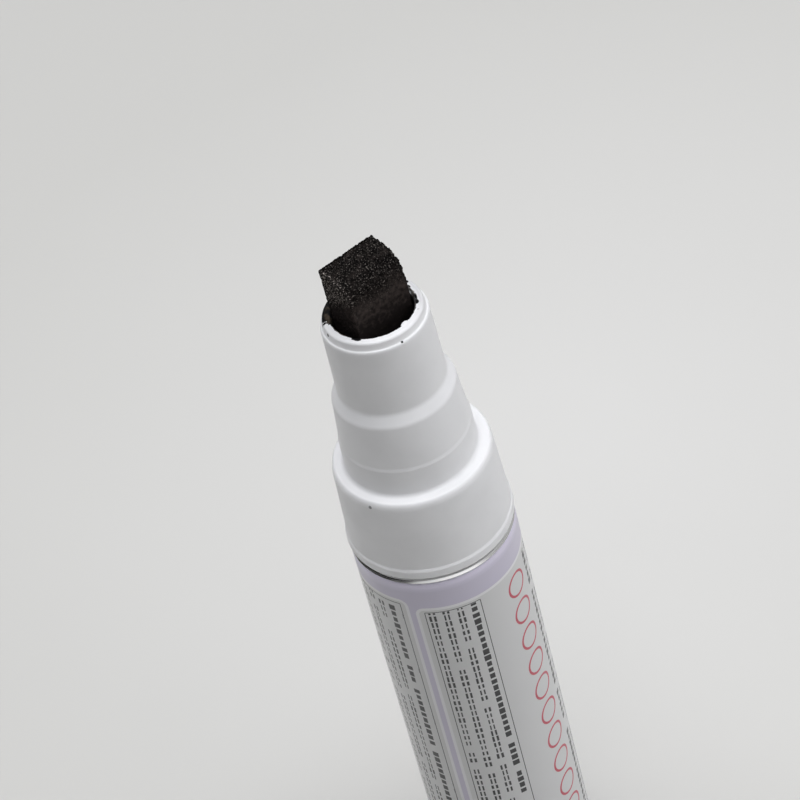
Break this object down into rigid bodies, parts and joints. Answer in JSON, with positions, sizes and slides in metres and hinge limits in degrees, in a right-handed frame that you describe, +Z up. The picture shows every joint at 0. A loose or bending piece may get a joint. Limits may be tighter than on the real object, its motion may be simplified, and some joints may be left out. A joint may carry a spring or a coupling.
{
  "type": "touch-up paint pen",
  "caption": "Broad-nib touch-up paint pen standing on its base: aluminium can with a wrapped label, stepped white nib holder, bevelled felt nib, sprung valve and loose agitator balls.",
  "frame": {"origin": "centre of the can's base, in the plane that it stands on", "axes": "+Z up the pen's axis towards the nib; +X along the nib's broad direction; -Y the side that the nib's bevel faces"},
  "size_m": [0.028, 0.028, 0.1463],
  "materials": {
    "can": "bare drawn aluminium",
    "label": "printed film, satin",
    "holder": "moulded, satin",
    "nib": "porous felt soaked with black paint",
    "seal": "moulded",
    "valve": "natural moulded plastic",
    "steel": "drawn wire and ground balls"
  },
  "bodies": {
    "pen_body": {"barrel": "can", "label": "label", "nib_holder": "holder", "barrel_seal": "seal", "valve_seat": "valve", "valve_cage": "valve", "valve_spring": "steel"},
    "nib_plunger": {"nib": "nib", "valve_stem": "valve", "seat_washer": "seal"},
    "ball_1": {"agitator_ball_1": "steel"},
    "ball_2": {"agitator_ball_2": "steel"}
  },
  "joints": [
    {"name": "nib_press", "type": "slide", "parent": "pen_body", "child": "nib_plunger", "axis": [0, 0, -1], "range_m": [0, 0.0018], "stiffness_N_per_m": 800, "springref_m": -0.0025, "deforming": ["valve_spring"]},
    {"name": "ball_1_shake", "type": "slide", "parent": "pen_body", "child": "ball_1", "axis": [0, 0, 1], "range_m": [0, 0.069]},
    {"name": "ball_2_shake", "type": "slide", "parent": "pen_body", "child": "ball_2", "axis": [0, 0, 1], "range_m": [0, 0.069]}
  ]
}
